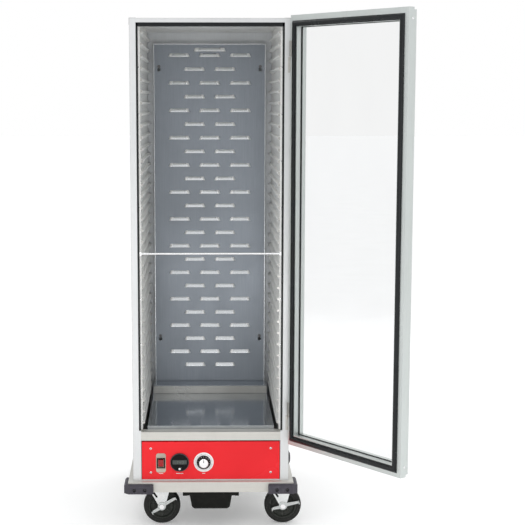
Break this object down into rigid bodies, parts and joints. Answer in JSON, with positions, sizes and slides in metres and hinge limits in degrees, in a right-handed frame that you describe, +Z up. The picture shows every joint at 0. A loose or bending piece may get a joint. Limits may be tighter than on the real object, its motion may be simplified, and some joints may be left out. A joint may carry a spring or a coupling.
{
  "type": "heated holding and proofing cabinet",
  "caption": "Full-height heated holding and proofing cabinet with ribbed side liners, louvred rear duct, clear-windowed door, front controls and swivel casters.",
  "frame": {"origin": "on the floor, at the middle of the bounding box's footprint, with the door standing open as modelled", "axes": "+Z up from the floor, -Y out of the cabinet's open front, +X to the right of someone who faces it"},
  "size_m": [0.8968, 1.2268, 1.715],
  "materials": {
    "skin_aluminium": "satin, mill finish",
    "vent_plastic": "fine grained",
    "frame_aluminium": "satin, bright",
    "insulation_board": "pressed glass fibre",
    "liner_aluminium": "satin, with a soft sheen",
    "louvred_aluminium": "satin",
    "bright_metal": "bright plated",
    "heater_sheath": "heat-tinted",
    "motor_steel": "dark enamel",
    "fan_aluminium": "plain",
    "red_panel": "smooth gloss",
    "switch_plate": "satin",
    "red_rocker": "translucent gloss",
    "black_plastic": "fine grained",
    "display": "glossy liquid crystal window",
    "button_metal": "satin",
    "dial_white": "smooth",
    "knob_metal": "turned",
    "base_metal": "pale grey, satin",
    "bumper_plastic": "moulded",
    "rail_black": "satin black",
    "pan_black": "moulded",
    "door_aluminium": "satin anodised",
    "window_clear": "clear",
    "seal_rubber": "soft",
    "handle_black": "fine grained",
    "hinge_metal": "plated",
    "caster_zinc": "zinc plated, bright",
    "wheel_rubber": "moulded"
  },
  "bodies": {
    "cabinet": {"skin_left": "skin_aluminium", "skin_right": "skin_aluminium", "skin_top": "skin_aluminium", "skin_back": "skin_aluminium", "floor_pan": "skin_aluminium", "insulation": "insulation_board", "side_liners": "liner_aluminium", "pan_ledges": "liner_aluminium", "liner_ceiling": "liner_aluminium", "liner_back": "liner_aluminium", "front_frame": "frame_aluminium", "sill": "frame_aluminium", "liner_rivets": "bright_metal", "brace_rod": "bright_metal", "duct_studs": "bright_metal", "heater_deck": "liner_aluminium", "heater_element": "heater_sheath", "fan_motor": "motor_steel", "control_panel": "red_panel", "front_screws": "bright_metal", "switch_bezel": "switch_plate", "thermometer_case": "black_plastic", "thermometer_screen": "display", "dial_plate": "dial_white", "thermostat_body": "black_plastic", "side_vent": "vent_plastic", "cord_inlet": "black_plastic", "base_frame": "base_metal", "bumpers": "bumper_plastic", "pan_rails": "rail_black", "hinge_cabinet_leaves": "hinge_metal", "caster_plates": "caster_zinc"},
    "door": {"door_frame": "door_aluminium", "door_trim": "door_aluminium", "door_window": "window_clear", "window_seal": "seal_rubber", "door_gasket": "seal_rubber", "door_screws": "bright_metal", "door_handle": "handle_black", "hinge_door_leaves": "hinge_metal"},
    "duct": {"duct_panel": "louvred_aluminium"},
    "impeller": {"fan_impeller": "fan_aluminium"},
    "rocker": {"switch_rocker": "red_rocker"},
    "button": {"thermometer_button": "button_metal"},
    "knob": {"thermostat_knob": "knob_metal"},
    "drip_pan": {"drip_pan": "pan_black"},
    "swivel_front_left": {"fork_front_left": "caster_zinc", "axle_front_left": "caster_zinc"},
    "roll_front_left": {"wheel_front_left": "wheel_rubber"},
    "lever_front_left": {"brake_front_left": "caster_zinc"},
    "swivel_front_right": {"fork_front_right": "caster_zinc", "axle_front_right": "caster_zinc"},
    "roll_front_right": {"wheel_front_right": "wheel_rubber"},
    "lever_front_right": {"brake_front_right": "caster_zinc"},
    "swivel_rear_left": {"fork_rear_left": "caster_zinc", "axle_rear_left": "caster_zinc"},
    "roll_rear_left": {"wheel_rear_left": "wheel_rubber"},
    "swivel_rear_right": {"fork_rear_right": "caster_zinc", "axle_rear_right": "caster_zinc"},
    "roll_rear_right": {"wheel_rear_right": "wheel_rubber"}
  },
  "joints": [
    {"name": "door_hinge", "type": "hinge", "parent": "cabinet", "child": "door", "pos_m": [0.10807, -0.18255, 1], "axis": [0, 0, 1], "range_deg": [-127, 53]},
    {"name": "duct_panel_lift", "type": "slide", "parent": "cabinet", "child": "duct", "axis": [0, 0, 1], "range_m": [0, 0.012]},
    {"name": "fan_spin", "type": "hinge", "parent": "cabinet", "child": "impeller", "pos_m": [-0.15643, 0.43445, 0.3], "axis": [0, 0, 1], "continuous": true},
    {"name": "power_switch", "type": "hinge", "parent": "cabinet", "child": "rocker", "pos_m": [-0.32443, -0.16055, 0.235], "axis": [1, 0, 0], "range_deg": [-16, 0]},
    {"name": "thermometer_button_press", "type": "slide", "parent": "cabinet", "child": "button", "axis": [0, 1, 0], "range_m": [0, 0.0015], "stiffness_N_per_m": 300},
    {"name": "thermostat_turn", "type": "hinge", "parent": "cabinet", "child": "knob", "pos_m": [-0.18043, -0.17255, 0.237], "axis": [0, 1, 0], "range_deg": [-135, 135]},
    {"name": "drip_pan_slide", "type": "slide", "parent": "cabinet", "child": "drip_pan", "axis": [0, -1, 0], "range_m": [0, 0.25]},
    {"name": "swivel_front_left", "type": "hinge", "parent": "cabinet", "child": "swivel_front_left", "pos_m": [-0.36443, -0.07255, 0.13], "axis": [0, 0, 1], "continuous": true},
    {"name": "roll_front_left", "type": "hinge", "parent": "swivel_front_left", "child": "roll_front_left", "pos_m": [-0.32443, -0.07255, 0.0635], "axis": [0, 1, 0], "continuous": true},
    {"name": "lever_front_left", "type": "hinge", "parent": "swivel_front_left", "child": "lever_front_left", "pos_m": [-0.32443, -0.07255, 0.0635], "axis": [0, 1, 0], "range_deg": [0, 18]},
    {"name": "swivel_front_right", "type": "hinge", "parent": "cabinet", "child": "swivel_front_right", "pos_m": [0.05157, -0.07255, 0.13], "axis": [0, 0, 1], "continuous": true},
    {"name": "roll_front_right", "type": "hinge", "parent": "swivel_front_right", "child": "roll_front_right", "pos_m": [0.09157, -0.07255, 0.0635], "axis": [0, 1, 0], "continuous": true},
    {"name": "lever_front_right", "type": "hinge", "parent": "swivel_front_right", "child": "lever_front_right", "pos_m": [0.09157, -0.07255, 0.0635], "axis": [0, 1, 0], "range_deg": [-18, 0]},
    {"name": "swivel_rear_left", "type": "hinge", "parent": "cabinet", "child": "swivel_rear_left", "pos_m": [-0.36443, 0.48745, 0.13], "axis": [0, 0, 1], "continuous": true},
    {"name": "roll_rear_left", "type": "hinge", "parent": "swivel_rear_left", "child": "roll_rear_left", "pos_m": [-0.35407, 0.52609, 0.0635], "axis": [-0.9659, 0.2588, 0], "continuous": true},
    {"name": "swivel_rear_right", "type": "hinge", "parent": "cabinet", "child": "swivel_rear_right", "pos_m": [0.05157, 0.48745, 0.13], "axis": [0, 0, 1], "continuous": true},
    {"name": "roll_rear_right", "type": "hinge", "parent": "swivel_rear_right", "child": "roll_rear_right", "pos_m": [0.03789, 0.52504, 0.0635], "axis": [-0.9397, -0.342, 0], "continuous": true}
  ]
}
